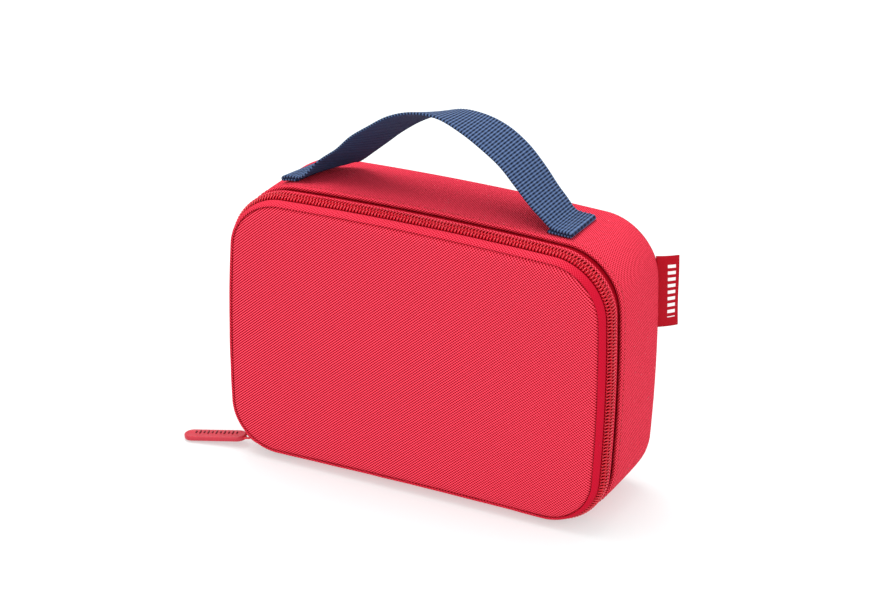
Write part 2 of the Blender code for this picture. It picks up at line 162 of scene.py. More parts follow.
# Painted shade in the webbing's holes
NAVY_HOLE_SHADE = (0.0, 0.001, 0.008)
NAVY_UNDER = (0.036, 0.066, 0.150)
RED_THREAD = (0.60, 0.012, 0.030)
NAVY_THREAD = (0.030, 0.060, 0.150)
LINING_LIGHT = (0.60, 0.61, 0.62)
LINING_DARK = (0.46, 0.47, 0.48)
BINDING_LIGHT = (0.26, 0.26, 0.27)
BINDING_DARK = (0.10, 0.10, 0.105)
FOAM_LIGHT = (0.84, 0.84, 0.82)
FOAM_DARK = (0.62, 0.62, 0.60)
FLOOR = (0.47, 0.505, 0.505)
FLOOR_GLOW = 0.46

# The view and its light
CAMERA_AT = (0.64575, -1.33007, 0.75758)
CAMERA_TURN = (radians(25.956), radians(23.929), radians(1.094))
CAMERA_LENS = 121.33
WORLD_STRENGTH = 0.86
LIGHTS_AIM = (0, 0, 0.08)
FLOOR_LEVEL = -0.4 * MM


# ---- outline and mesh helpers

def outline_at(distance):
    """(x, z, normal x, normal z) at a distance along the outline, leftwards from the underside's middle."""
    half_x, half_z = WIDTH / 2, HEIGHT
    low, high = CORNER_RADIUS, HEIGHT - CORNER_RADIUS
    runs = (
        (STRAIGHT_X, (0, 0), (-1, 0)), (QUARTER, (-STRAIGHT_X, low), 270),
        (2 * STRAIGHT_Z, (-half_x, low), (0, 1)), (QUARTER, (-STRAIGHT_X, high), 180),
        (2 * STRAIGHT_X, (-STRAIGHT_X, half_z), (1, 0)), (QUARTER, (STRAIGHT_X, high), 90),
        (2 * STRAIGHT_Z, (half_x, high), (0, -1)), (QUARTER, (STRAIGHT_X, low), 0),
        (STRAIGHT_X, (STRAIGHT_X, 0), (-1, 0)),
    )
    left = distance % PERIMETER
    for length, (x, z), course in runs:
        if left <= length:
            break
        left -= length
    if isinstance(course, tuple):
        dx, dz = course
        return x + dx * left, z + dz * left, -dz, dx
    angle = radians(course) - left / CORNER_RADIUS
    nx, nz = cos(angle), sin(angle)
    return x + CORNER_RADIUS * nx, z + CORNER_RADIUS * nz, nx, nz


def bulged(x, z):
    """A point of the flat-sided outline, moved with the slack of its sides, top and underside."""
    across = x / (WIDTH / 2)
    up = (z - HEIGHT / 2) / (HEIGHT / 2)
    side = SIDE_BULGE * max(0, 1 - up * up) * across
    crown = max(0, 1 - across * across)
    top = TOP_BULGE * crown * max(0, up)
    rise = UNDERSIDE_RISE * crown * max(0, -up) ** 3
    return x + side, z + top + rise


def corner_puff(distance, depth_mm):
    """How far the filled upper right corner stands out, most of all halfway to the back, in millimetres."""
    _, _, nx, nz = outline_at(distance)
    corner = max(0, 2 * nx * nz) if nz > 0 else 0
    reach = min(1, max(0, (depth_mm - 26) / 50))
    return BACK_CORNER_PUFF * corner ** 1.5 * sin(pi * reach)


def place(distance, inset_mm, depth_mm):
    """The point at a distance along the outline, some millimetres inside it and behind the front plane."""
    x, z, nx, nz = outline_at(distance)
    inset_mm -= corner_puff(distance, depth_mm)
    px, pz = bulged(x - nx * inset_mm * MM, z - nz * inset_mm * MM)
    return Vector((px, FRONT + depth_mm * MM, pz))


def smooth(points, steps):
    """A Catmull-Rom curve through points of any dimension."""
    points = [Vector(p) for p in points]
    padded = [points[0] * 2 - points[1], *points, points[-1] * 2 - points[-2]]
    line = []
    for a, b, c, d in zip(padded, padded[1:], padded[2:], padded[3:]):
        for step in range(steps):
            t = step / steps
            cubic = (b * 3 - a - c * 3 + d) * t**3
            line.append((b * 2 + (c - a) * t + (a * 2 - b * 5 + c * 4 - d) * t**2 + cubic) / 2)
    return line + [points[-1]]


def lengths_along(points):
    """The distance travelled at each point of a line."""
    total = [0.0]
    for a, b in zip(points, points[1:]):
        total.append(total[-1] + (b - a).length)
    return total


def evenly(start, end, step):
    count = max(1, round((end - start) / step))
    return [start + (end - start) * i / count for i in range(count + 1)]


def show(obj):
    bpy.context.scene.collection.objects.link(obj)
    return obj


def build(name, bm, material):
    """A shaded object from a bmesh, which it frees."""
    mesh = bpy.data.meshes.new(name)
    bm.to_mesh(mesh)
    bm.free()
    mesh.materials.append(material)
    mesh.shade_smooth()
    return show(bpy.data.objects.new(name, mesh))


def grid_object(name, rows, us, vs, material, wrap_rows=False, wrap_columns=False, outward=None):
    """A surface through rows of points, whose UV map holds the cloth's own metres.

    Where rows or columns wrap round, us or vs has one more value than there are rows or columns.
    """
    bm = bmesh.new()
    layer = bm.loops.layers.uv.new("Cloth")
    verts = [[bm.verts.new(point) for point in row] for row in rows]
    row_count, column_count = len(rows), len(rows[0])
    for i in range(row_count if wrap_rows else row_count - 1):
        for j in range(column_count if wrap_columns else column_count - 1):
            corners = ((i, j), (i + 1, j), (i + 1, j + 1), (i, j + 1))
            face = bm.faces.new([verts[a % row_count][b % column_count] for a, b in corners])
            for loop, (a, b) in zip(face.loops, corners):
                loop[layer].uv = (us[a], vs[b])
    if wrap_columns and not wrap_rows:
        for row, u in ((verts[0], us[0]), (verts[-1], us[-1])):
            cap = bm.faces.new(row)
            for j, loop in enumerate(cap.loops):
                loop[layer].uv = (u, vs[j])
    if wrap_columns:
        bmesh.ops.recalc_face_normals(bm, faces=bm.faces)
    elif outward is not None:
        facing = 0
        for face in bm.faces:
            face.normal_update()
            facing += face.normal.dot(outward(face.calc_center_median()))
        if facing < 0:
            bmesh.ops.reverse_faces(bm, faces=bm.faces)
    return build(name, bm, material)


def from_axis(point):
    """Away from the middle line that runs through the case from front to back."""
    return Vector((point.x, 0, point.z - HEIGHT / 2))


def thicken(obj, thickness, offset=-1):
    solid = obj.modifiers.new("Thickness", "SOLIDIFY")
    solid.thickness = thickness
    solid.offset = offset
    solid.use_even_offset = True
    return obj


def wobble(point, wavelength, seed=0):
    """Smooth noise from about -1 to 1."""
    return noise.noise(Vector(point) / wavelength + Vector((seed * 7.3, seed * 3.1, seed * 5.7)))


def settle(obj, held, push):
    """Lets a cover settle as cloth: the padding pushes it outwards, its sewn edges are held, and
    no vertex moves further than the cap.
    """
    group = obj.vertex_groups.new(name="sewn")
    group.add(held, 1.0, "REPLACE")
    cloth = obj.modifiers.new("settle", "CLOTH")
    for name, value in COVER_CLOTH.items():
        setattr(cloth.settings, name, value)
    cloth.settings.vertex_group_mass = group.name
    cloth.settings.uniform_pressure_force = push
    cloth.settings.effector_weights.gravity = 0
    cloth.point_cache.frame_end = SETTLE_FRAMES
    scene = bpy.context.scene
    for step in range(1, SETTLE_FRAMES + 1):
        scene.frame_set(step)
    settled = obj.evaluated_get(bpy.context.evaluated_depsgraph_get())
    for vertex, shaped in zip(obj.data.vertices, [v.co.copy() for v in settled.data.vertices]):
        move = shaped - vertex.co
        vertex.co += move * min(1, SETTLE_CAP / max(move.length, 1e-9))
    obj.modifiers.remove(cloth)
    obj.vertex_groups.remove(group)
    scene.frame_set(1)


def swept_band(name, section, material, start=0.0, end=PERIMETER, step=3 * MM, closed=False, relief=None):
    """A section swept along the outline. relief(distance, depth) is how far the cloth stands out, in mm."""
    section = [Vector(p) for p in section]
    whole = abs(end - start - PERIMETER) < MM
    distances = evenly(start, end, step)
    rows = []
    for distance in distances[:-1] if whole else distances:
        row = []
        for inset, depth in section:
            proud = relief(distance, depth) if relief else 0
            row.append(place(distance, inset - proud, depth))
        rows.append(row)
    vs = [v * MM for v in lengths_along(section + section[:1] if closed else section)]
    return grid_object(name, rows, distances, vs, material, whole, closed, from_axis)


def add_tube(bm, points, radius, sides=6):
    """A tube with rounded ends along the points, added to a bmesh."""
    first, last = (points[1] - points[0]).normalized(), (points[-1] - points[-2]).normalized()
    points = [points[0] - first * radius * 0.5, *points, points[-1] + last * radius * 0.5]
    normal = first.orthogonal().normalized()
    rings = []
    for i, point in enumerate(points):
        tangent = (points[min(i + 1, len(points) - 1)] - points[max(i - 1, 0)]).normalized()
        normal = (normal - tangent * normal.dot(tangent)).normalized()
        side = tangent.cross(normal)
        size = radius * (0.6 if i in (0, len(points) - 1) else 1)
        angles = [2 * pi * k / sides for k in range(sides)]
        rings.append([bm.verts.new(point + (normal * cos(a) + side * sin(a)) * size) for a in angles])
    for ring, following in zip(rings, rings[1:]):
        for j in range(sides):
            k = (j + 1) % sides
            bm.faces.new((ring[j], ring[k], following[k], following[j]))
    bm.faces.new(rings[0][::-1])
    bm.faces.new(rings[-1])


def stitch_row(name, route, length, gap, radius, material):
    """Stitches along a line of points: short raised threads that dip at both ends."""
    bm = bmesh.new()
    travelled = lengths_along(route)
    start = gap / 2
    while start + length < travelled[-1]:
        points = []
        for fraction, lift in ((0, -0.9), (0.12, 0.1), (0.5, 0.45), (0.88, 0.1), (1, -0.9)):
            point, normal = route_point(route, travelled, start + length * fraction)
            points.append(point + normal * lift * radius)
        add_tube(bm, points, radius, 5)
        start += length + gap
    return build(name, bm, material)


def route_point(route, travelled, distance):
    """The point at a distance along a route, and the direction away from the case's middle line there."""
    i = 0
    while i < len(route) - 2 and travelled[i + 1] < distance:
        i += 1
    run = travelled[i + 1] - travelled[i]
    point = route[i].lerp(route[i + 1], (distance - travelled[i]) / run)
    return point, from_axis(point).normalized()


def rounded(obj, width, segments=2):
    bevel = obj.modifiers.new("Rounded", "BEVEL")
    bevel.width = width
    bevel.segments = segments
    return obj


def finish_piece(obj, body, slot, *nodes):
    """The piece rides on a body and stands for the CAD nodes named; slot is not used."""
    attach(obj, body)
    if nodes:
        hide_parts(*nodes)
    return obj


# ---- material helpers

class Graph:
    """A material's node tree, with short ways to add arithmetic and colour mixes."""

    def __init__(self, name, roughness, specular):
        self.material = bpy.data.materials.new(name)
        self.material.use_nodes = True
        self.nodes = self.material.node_tree.nodes
        self.links = self.material.node_tree.links
        self.shader = self.nodes["Principled BSDF"]
        self.fix("Roughness", roughness)
        self.fix("Specular IOR Level", specular)

    def put(self, socket, value):
        if isinstance(value, bpy.types.NodeSocket):
            self.links.new(value, socket)
        elif isinstance(value, tuple) and len(value) == 3 and socket.type == "RGBA":
            socket.default_value = (*value, 1)
        else:
            socket.default_value = value

    def math(self, operation, a, b=None):
        node = self.nodes.new("ShaderNodeMath")
        node.operation = operation
        self.put(node.inputs[0], a)
        if b is not None:
            self.put(node.inputs[1], b)
        return node.outputs[0]

    def parts(self, vector):
        split = self.nodes.new("ShaderNodeSeparateXYZ")
        self.links.new(vector, split.inputs[0])
        return split.outputs

    def cloth(self):
        """The cloth's own coordinates, in metres along and across it."""
        node = self.nodes.new("ShaderNodeUVMap")
        node.uv_map = "Cloth"
        along, across, _ = self.parts(node.outputs[0])
        return along, across

    def place(self):
        return self.nodes.new("ShaderNodeTexCoord").outputs["Object"]

    def across_case(self):
        """The distance to the right of the case's middle."""
        return self.parts(self.place())[0]

    def noise(self, scale, detail, stretch=None):
        node = self.nodes.new("ShaderNodeTexNoise")
        node.inputs["Scale"].default_value = scale
        node.inputs["Detail"].default_value = detail
        vector = self.place()
        if stretch:
            mapping = self.nodes.new("ShaderNodeMapping")
            mapping.inputs["Scale"].default_value = stretch
            self.links.new(vector, mapping.inputs[0])
            vector = mapping.outputs[0]
        self.links.new(vector, node.inputs["Vector"])
        return node.outputs["Fac"]

    def mix(self, amount, a, b):
        node = self.nodes.new("ShaderNodeMix")
        node.data_type = "RGBA"
        self.put(node.inputs["Factor"], amount)
        self.put(node.inputs["A"], a)
        self.put(node.inputs["B"], b)
        return node.outputs["Result"]

    def span(self, value, low=0.3, high=0.7, to_low=0.0, to_high=1.0):
        node = self.nodes.new("ShaderNodeMapRange")
        node.interpolation_type = "SMOOTHSTEP"
        ends = {"From Min": low, "From Max": high, "To Min": to_low, "To Max": to_high}
        for name, number in ends.items():
            node.inputs[name].default_value = number
        self.links.new(value, node.inputs["Value"])
        return node.outputs["Result"]

    def colour(self, value):
        self.put(self.shader.inputs["Base Color"], value)

    def roughness(self, value):
        self.put(self.shader.inputs["Roughness"], value)

    def bump(self, height, distance, strength=1.0):
        node = self.nodes.new("ShaderNodeBump")
        node.inputs["Distance"].default_value = distance
        node.inputs["Strength"].default_value = strength
        self.links.new(height, node.inputs["Height"])
        if self.shader.inputs["Normal"].is_linked:
            self.links.new(self.shader.inputs["Normal"].links[0].from_socket, node.inputs["Normal"])
        self.links.new(node.outputs[0], self.shader.inputs["Normal"])

    def fix(self, name, value):
        """A uniform value, set on the shader's own socket."""
        self.shader.inputs[name].default_value = value

    def wave(self, value, period):
        """sin(pi * value / period), whose sign changes from one yarn to the next."""
        return self.math("SINE", self.math("MULTIPLY", value, pi / period))


def dimmed(colour, amount):
    return tuple(part * amount for part in colour)


def woven(name, light, mid, dark, across, along, roughness, bump):
    """Plain weave: the yarns' colour with a painted highlight on their crowns, and painted shade in the dark
    hole where four yarns meet. Its one diagonal stands out more to the left.
    """
    g = Graph(name, roughness, 0.02)
    u, v = g.cloth()
    drift = g.math("MULTIPLY", g.math("SUBTRACT", g.noise(160, 2), 0.5), across * 0.35)
    u = g.math("ADD", g.math("SUBTRACT", u, g.math("MULTIPLY", v, 0.03)), drift)
    yarns = g.math("MULTIPLY", g.wave(u, across), g.wave(v, along))
    between = g.wave(g.math("ADD", u, across / 2), across), g.wave(g.math("ADD", v, along / 2), along)
    pull = g.span(g.across_case(), -WIDTH / 2, WIDTH / 2, 0.42, -0.05)
    over = g.math("ADD", yarns, g.math("MULTIPLY", g.math("MULTIPLY", *between), pull))
    crown = g.math("SQRT", g.math("ABSOLUTE", over))
    # The light yarns carry a painted highlight and the dark holes painted shade
    tone = g.mix(g.span(over, -0.14, 0.16), dark, light)
    tone = g.mix(g.span(crown, 0.25, 0.95, 0.0, 0.06), tone, mid)
    patch = g.noise(22, 4)
    tone = g.mix(g.span(patch, 0.35, 0.75, 0.0, 0.05), tone, mid)
    g.colour(tone)
    g.roughness(g.span(crown, 0.2, 0.9, roughness + 0.1, roughness))
    g.bump(over, bump)
    g.bump(g.noise(70, 4), 0.5 * MM, 0.35)
    return g


def red_weave(name, bump):
    return woven(name, RED_YARN_HIGHLIGHT, RED_MID, RED_HOLE_SHADE, *RED_PITCH, 0.8, bump)


def edge_fabric():
    """The strip in front of the zip, which turns darker and plain towards the right-hand side: painted shade
    where the strip faces away from the light, with the weave faded out.
    """
    g = red_weave("red_edge_weave", 0.07 * MM)
    loose = g.shader.inputs["Base Color"].links[0].from_socket
    # Painted shade: darker and without weave towards the right-hand side
    g.colour(g.mix(g.span(g.across_case(), 75 * MM, 108 * MM, 0.25, 0.94), loose, EDGE_SHADE_RED))
    return g.material


def nylon():
    g = Graph("red_nylon", 0.22, 0.8)
    g.fix("Specular Tint", (*NYLON_GLOSS, 1))
    streak = g.noise(1500, 3)
    g.colour(g.mix(g.span(streak), NYLON_RED, dimmed(NYLON_RED, 0.7)))
    g.roughness(g.span(streak, 0.3, 0.7, 0.14, 0.30))
    g.bump(streak, 0.03 * MM)
    return g.material


def soft_plastic(name, colour):
    g = Graph(name, 0.42, 0.4)
    cloud, grain = g.noise(60, 3), g.noise(2600, 2)
    g.colour(g.mix(g.span(cloud), colour, dimmed(colour, 0.86)))
    g.roughness(g.span(grain, 0.3, 0.7, 0.36, 0.5))
    g.bump(grain, 0.03 * MM)
    return g.material


def webbing():
    """Cross-ribbed webbing: light ribs, and between them dark holes where the floats dip, with painted shade
    in the holes and the dips.
    """
    g = Graph("navy_webbing", 0.65, 0.15)
    u, v = g.cloth()
    rib = g.math("ABSOLUTE", g.wave(u, RIB_PITCH))
    valley = g.span(rib, 0.36, 0.86, 1.0, 0.0)
    dip = g.wave(v, FLOAT_PITCH)
    hole = g.math("MULTIPLY", valley, g.span(dip, -0.45, 0.35, 0.15, 1.0))
    fibre = g.noise(700, 3, stretch=(1, 6, 1))
    tone = g.mix(g.span(rib, 0.62, 0.95), NAVY_MID, NAVY_LIGHT)
    # Painted shade where the floats dip, and in the holes
    tone = g.mix(g.span(dip, -0.9, 0.9, 0.0, 0.35), tone, NAVY_MID)
    tone = g.mix(hole, tone, NAVY_HOLE_SHADE)
    tone = g.mix(g.span(fibre, 0.3, 0.7, 0.0, 0.2), tone, NAVY_MID)
    g.colour(tone)
    g.bump(g.math("SUBTRACT", rib, hole), 0.16 * MM)
    return g.material


def webbing_underside():
    """The smoother, darker back of the webbing, with fine lengthwise yarns."""
    g = Graph("navy_webbing_back", 0.75, 0.08)
    u, v = g.cloth()
    rib = g.math("ABSOLUTE", g.wave(u, RIB_PITCH))
    yarn = g.math("ABSOLUTE", g.wave(v, 0.7 * MM))
    weave = g.math("MULTIPLY", rib, yarn)
    g.colour(g.mix(g.span(weave, 0.1, 0.8), dimmed(NAVY_UNDER, 0.45), NAVY_UNDER))
    g.bump(weave, 0.08 * MM)
    return g.material


def tag_weave():
    """Satin ribbon with a generic woven row of short bars."""
    g = Graph("tag_weave", 0.6, 0.1)
    u, v = g.cloth()
    fine = g.math("MULTIPLY", g.wave(u, 0.22 * MM), g.wave(v, 0.28 * MM))
    bars = g.span(g.wave(v, 1.9 * MM), -0.15, 0.15)
    centred = g.math("ABSOLUTE", g.math("SUBTRACT", u, TAG_ROOT + TAG_REACH * 0.56))
    band = g.span(centred, 2.1 * MM, 2.4 * MM, 1.0, 0.0)
    ends = g.math("MULTIPLY", g.span(v, 5 * MM, 5.4 * MM), g.span(v, 36.6 * MM, 37 * MM, 1.0, 0.0))
    mark = g.math("MULTIPLY", g.math("MULTIPLY", bars, band), ends)
    base = g.mix(g.span(fine, -0.8, 0.8), dimmed(TAG_RED, 0.75), dimmed(TAG_RED, 1.2))
    g.colour(g.mix(mark, base, TAG_MARK))
    g.bump(fine, 0.03 * MM)
    g.bump(mark, 0.06 * MM)
    g.fix("Sheen Weight", 0.03)
    g.fix("Sheen Roughness", 0.3)
    g.fix("Sheen Tint", (1.0, 0.3, 0.35, 1))
    return g.material


def lining():
    g = Graph("grey_lining", 0.42, 0.5)
    cloud, crease = g.noise(18, 4), g.noise(55, 5)
    g.colour(g.mix(g.span(cloud), LINING_LIGHT, LINING_DARK))
    g.roughness(g.span(crease, 0.3, 0.7, 0.34, 0.52))
    g.bump(crease, 0.8 * MM, 0.5)
    g.bump(g.noise(1800, 2), 0.04 * MM)
    return g.material


def narrow_tape(name, light, dark, across, along, roughness):
    return woven(name, light, light, dark, across, along, roughness, 0.06 * MM).material


def foam():
    g = Graph("white_foam", 0.95, 0.2)
    cells = g.nodes.new("ShaderNodeTexVoronoi")
    cells.inputs["Scale"].default_value = 1100
    g.links.new(g.place(), cells.inputs["Vector"])
    depth = cells.outputs["Distance"]
    g.colour(g.mix(g.span(depth, 0.0, 0.8), FOAM_DARK, FOAM_LIGHT))
    g.bump(depth, 0.15 * MM)
    return g.material


def thread(name, colour):
    g = Graph(name, 0.5, 0.5)
    twist = g.noise(3000, 2)
    g.colour(g.mix(g.span(twist), colour, dimmed(colour, 0.6)))
    g.bump(twist, 0.05 * MM)
    return g.material


def floor_finish():
    """A pale studio sweep that glows a little, so that shadows on it stay light and neutral."""
    g = Graph("pale_floor", 0.9, 0.0)
    faint = g.noise(3, 2)
    g.colour(g.mix(g.span(faint), FLOOR, dimmed(FLOOR, 0.985)))
    g.fix("Emission Color", (1, 1, 1, 1))
    g.fix("Emission Strength", FLOOR_GLOW)
    return g.material


# ---- stage

def set_camera():
    """The camera stands in front, to the right and above, and looks along its own back axis."""
    azimuth, elevation, roll = CAMERA_TURN
    back = Vector((sin(azimuth) * cos(elevation), -cos(azimuth) * cos(elevation), sin(elevation)))
    level = Vector((0, 0, 1)).cross(back).normalized()
    upright = back.cross(level)
    right = level * cos(roll) + upright * sin(roll)
    above = upright * cos(roll) - level * sin(roll)
    data = bpy.data.cameras.new("camera")
    data.sensor_width = 36
    data.lens = CAMERA_LENS
    data.clip_start = 0.05
    camera = show(bpy.data.objects.new("camera", data))
    turn = Matrix((right, above, back)).transposed().to_4x4()
    camera.matrix_world = Matrix.Translation(CAMERA_AT) @ turn
    bpy.context.scene.camera = camera


def area_light(name, location, width, height, power):
    data = bpy.data.lights.new(name, "AREA")
    data.shape = "RECTANGLE"
    data.size, data.size_y = width, height
    data.energy = power
    lamp = show(bpy.data.objects.new(name, data))
    lamp.location = location
    aim = Vector(LIGHTS_AIM) - Vector(location)
    lamp.rotation_euler = aim.to_track_quat("-Z", "Y").to_euler()


def set_light():
    world = bpy.data.worlds.new("studio")
    world.use_nodes = True
    background = world.node_tree.nodes["Background"]
    background.inputs["Color"].default_value = (1, 1, 1, 1)
    background.inputs["Strength"].default_value = WORLD_STRENGTH
    bpy.context.scene.world = world
    area_light("softbox_above", (-0.35, 0.15, 1.5), 1.3, 1.3, 18)
    area_light("softbox_front", (0.1, -1.9, 0.9), 1.4, 1.2, 12)
    area_light("softbox_right", (1.7, -0.2, 0.7), 1.2, 1.2, 8)
    bpy.context.scene.view_settings.view_transform = "Standard"


def make_floor(finish):
    bm = bmesh.new()
    bmesh.ops.create_grid(bm, x_segments=4, y_segments=4, size=6)
    bmesh.ops.translate(bm, vec=(0, 0, FLOOR_LEVEL), verts=bm.verts)
    floor = build("floor", bm, finish)


# ---- padded panels

def edge_distance_mm(x, z, inset_mm):
    """How far a point of a panel lies inside the panel's rounded edge."""
    half_x, half_z = WIDTH / 2 / MM - inset_mm, HEIGHT / 2 / MM - inset_mm
    radius = CORNER_RADIUS / MM - inset_mm
    qx = abs(x / MM) - half_x + radius
    qz = abs((z - HEIGHT / 2) / MM) - half_z + radius
    outside = hypot(max(qx, 0), max(qz, 0)) + min(max(qx, qz), 0) - radius
    return max(0, -outside)


def panel_spot(i, j, half_columns, half_rows, inset_mm):
    """The flat (x, z) of a point of a panel's grid: rings of the outline that shrink to the middle."""
    across, up = i / half_columns, j / half_rows
    ring = max(abs(across), abs(up))
    if ring == 0:
        return 0.0, HEIGHT / 2
    across, up = across / ring, up / ring
    if up >= 1:
        distance = TOP_MIDDLE + across * (STRAIGHT_X + QUARTER / 2)
    elif up <= -1:
        distance = -across * (STRAIGHT_X + QUARTER / 2)
    elif across >= 1:
        distance = RIGHT_MIDDLE - up * (STRAIGHT_Z + QUARTER / 2)
    else:
        distance = LEFT_MIDDLE + up * (STRAIGHT_Z + QUARTER / 2)
    x, z, nx, nz = outline_at(distance)
    x, z = x - nx * inset_mm * MM, z - nz * inset_mm * MM
    size = 1 - (1 - ring) ** 1.35
    return x * size, HEIGHT / 2 + (z - HEIGHT / 2) * size


def padded_panel(name, inset_mm, depth_of, material, half_columns=44, half_rows=32, faces_front=True):
    """A padded panel whose depth behind the front plane follows the distance from its sewn edge."""
    rows = []
    for i in range(-half_columns, half_columns + 1):
        row = []
        for j in range(-half_rows, half_rows + 1):
            x, z = panel_spot(i, j, half_columns, half_rows, inset_mm)
            px, pz = bulged(x, z)
            row.append(Vector((px, FRONT + depth_of(x, z) * MM, pz)))
        rows.append(row)
    outward = Vector((0, -1 if faces_front else 1, 0))
    us, vs = [0] * len(rows), [0] * len(rows[0])
    obj = grid_object(name, rows, us, vs, material, outward=lambda _: outward)
    layer = obj.data.uv_layers["Cloth"]
    for loop in obj.data.loops:
        vertex = obj.data.vertices[loop.vertex_index].co
        layer.data[loop.index].uv = (vertex.x, vertex.z)
    last_i, last_j = 2 * half_columns, 2 * half_rows
    border = [
        i * (last_j + 1) + j
        for i in range(last_i + 1) for j in range(last_j + 1)
        if min(i, j, last_i - i, last_j - j) < 4
    ]
    settle(obj, border, 1.0)
    return obj


def slack(x, z, broad, fine):
    """Loose cloth: a broad and a fine wave, each as its height, its length and its seed."""
    return sum(height * wobble((x, z, 0), length * MM, seed) for height, length, seed in (broad, fine))


def front_depth(x, z):
    """Soft crown over foam, rolled down into the seam, in millimetres behind the front plane."""
    edge = edge_distance_mm(x, z, FRONT_EDGE_MM)
    roll = 2.2 * exp(-(edge / 1.7) ** 1.3)
    crown = 1.1 * (1 - (1 - min(edge / 46, 1)) ** 2)
    waves = slack(x, z, (0.22, 42, 0), (0.10, 15, 2))
    return roll - crown + waves * min(1, edge / 12) + 0.25


def back_depth(x, z):
    edge = edge_distance_mm(x, z, BACK_EDGE_MM)
    roll = 2.7 * exp(-(edge / 3.0) ** 1.2)
    waves = slack(x, z, (0.30, 46, 5), (0.12, 17, 6))
    return 78.2 - roll + 0.8 * (1 - (1 - min(edge / 50, 1)) ** 2) + waves * min(1, edge / 14)


def make_lid_cover(finishes):
    front = padded_panel("front_cover", FRONT_EDGE_MM, front_depth, finishes["fabric"])
    finish_piece(thicken(front, CLOTH), "lid", "red_fabric", "lid_front_panel")
    edge = [(5.3, 2.3), (4.75, 1.35), (4.1, 1.5), (3.3, 3), (2.65, 4.8)]
    edge += [(2.4, 5.9), (2.7, 6.6), (3.6, 6.8), (4.7, 6.6)]
    band = swept_band("front_edge_band", smooth(edge, 4), finishes["edge"], relief=lid_band_relief)
    finish_piece(thicken(band, 0.6 * MM), "lid", "red_fabric", "lid_gusset")


def lid_band_relief(distance, depth):
    x, z, _, _ = outline_at(distance)
    middle = max(0, 1 - ((depth - 3.2) / 2.2) ** 2)
    return middle * (0.25 + 0.22 * wobble((x, z, 0), 13 * MM, 9))


def case_band_relief(distance, depth):
    """Slack cloth between two seams: a soft crown, broad wrinkles, and short puckers along the seams."""
    x, z, _, _ = outline_at(distance)
    run = min(1, max(0, (depth - 19) / 55))
    crown = 4 * run * (1 - run)
    spot = (x, z, depth * MM)
    waves = 0.35 * wobble(spot, 38 * MM, 11) + 0.16 * wobble(spot, 16 * MM, 12)
    near_front = exp(-((depth - 24) / 6) ** 2)
    near_back = exp(-((depth - 70) / 5) ** 2)
    pucker = 0.16 * wobble((distance, 0, 0), 5.5 * MM, 13) * (near_front + near_back)
    return ((0.7 + waves) * crown + pucker) * (1 - under_pad(x, z))


def under_pad(x, z):
    """1 where the handle's sewn ends hold the top down, 0 away from them."""
    if z < HEIGHT / 2:
        return 0
    nearest = min(abs(x - LEFT_FOLD_X - 5 * MM), abs(x - RIGHT_FOLD_X + 5 * MM))
    return exp(-max(0, nearest - 7 * MM) ** 2 / (9 * MM) ** 2)


def sewn_down(band):
    """The case cover's vertices at its two seams, on its flat underside and under the handle's ends."""
    held = []
    for vertex in band.data.vertices:
        x, y, z = vertex.co
        loose = FRONT + 26 * MM < y < FRONT + 70 * MM and z > 14 * MM
        if not loose or under_pad(x, z) > 0.3:
            held.append(vertex.index)
    return held


def make_case_cover(finishes):
    fold = [(2.9, 24.6), (2.5, 23.2), (1.7, 22.4), (0.7, 22.1), (0.12, 22.5), (0, 23.5), (0, 26.5)]
    section = smooth(fold, 3) + [Vector((0, depth)) for depth in range(28, 66, 2)]
    section += smooth([(0, 66), (0.1, 69), (0.5, 72), (1.3, 74.4), (2.2, 75.6), (3.2, 75.9)], 3)
    band = swept_band("case_cover", section, finishes["fabric"], relief=case_band_relief)
    settle(band, sewn_down(band), 0.6)
    finish_piece(thicken(band, 0.8 * MM), "case", "red_fabric", "body_gusset")
    back = padded_panel("back_cover", BACK_EDGE_MM, back_depth, finishes["fabric"], faces_front=False)
    finish_piece(thicken(back, CLOTH), "case", "red_fabric", "back_panel")


# ---- inside: foam, lining, bindings

def make_inside(finishes):
    """Foam and bound seams follow the CAD's sections, on a finer outline."""
    foam_band = [(1.3, 25.2), (1.3, 72.7), (4.8, 72.7), (4.8, 25.2)]
    binding_case = [(6.1, 69.6), (6.1, 71.7), (8.2, 71.7), (8.2, 70.9), (7.2, 69.6)]
    binding_lid = [(6.6, 6.7), (8.6, 6.7), (7.8, 7.9), (6.2, 8.2)]
    for name, section, finish, body, slot, node in (
        ("case_foam", foam_band, "foam", "case", "white_foam", "body_gusset_foam"),
        ("case_seam_binding", binding_case, "binding", "case", "grey_binding", "body_seam_binding"),
        ("lid_seam_tape", binding_lid, "binding", "lid", "grey_binding", "lid_seam_binding"),
    ):
        obj = swept_band(name, section, finishes[finish], closed=True)
        finish_piece(rounded(obj, 0.25 * MM), body, slot, node)
    for name, rings, body, node in (
        ("lid_foam_board", [(9.5, 1.7), (7.8, 1.75), (6.9, 2.3), (6.6, 3), (6.6, 5.4)], "lid", "lid_foam"),
        ("back_foam_board", [(2.2, 72.9), (1.8, 73.6), (2, 74.8), (3.8, 76.3)], "case", "back_foam"),
    ):
        board = foam_board(name, rings, finishes["foam"])
        finish_piece(board, body, "white_foam", node)


def foam_board(name, rings, material):
    """A closed board from rings (inset, depth) of the outline."""
    distances = evenly(0, PERIMETER, 3 * MM)
    rows = [[place(d, inset, depth) for d in distances[:-1]] for inset, depth in rings]
    us = [u * MM for u in lengths_along([Vector(ring) for ring in rings])]
    return grid_object(name, rows, us, distances, material, wrap_columns=True)


def lining_depth(x, z):
    edge = edge_distance_mm(x, z, 5.5)
    waves = slack(x, z, (0.22, 30, 21), (0.12, 11, 22))
    return 72.2 - 0.9 * exp(-edge / 2.2) - abs(waves) * min(1, edge / 8)


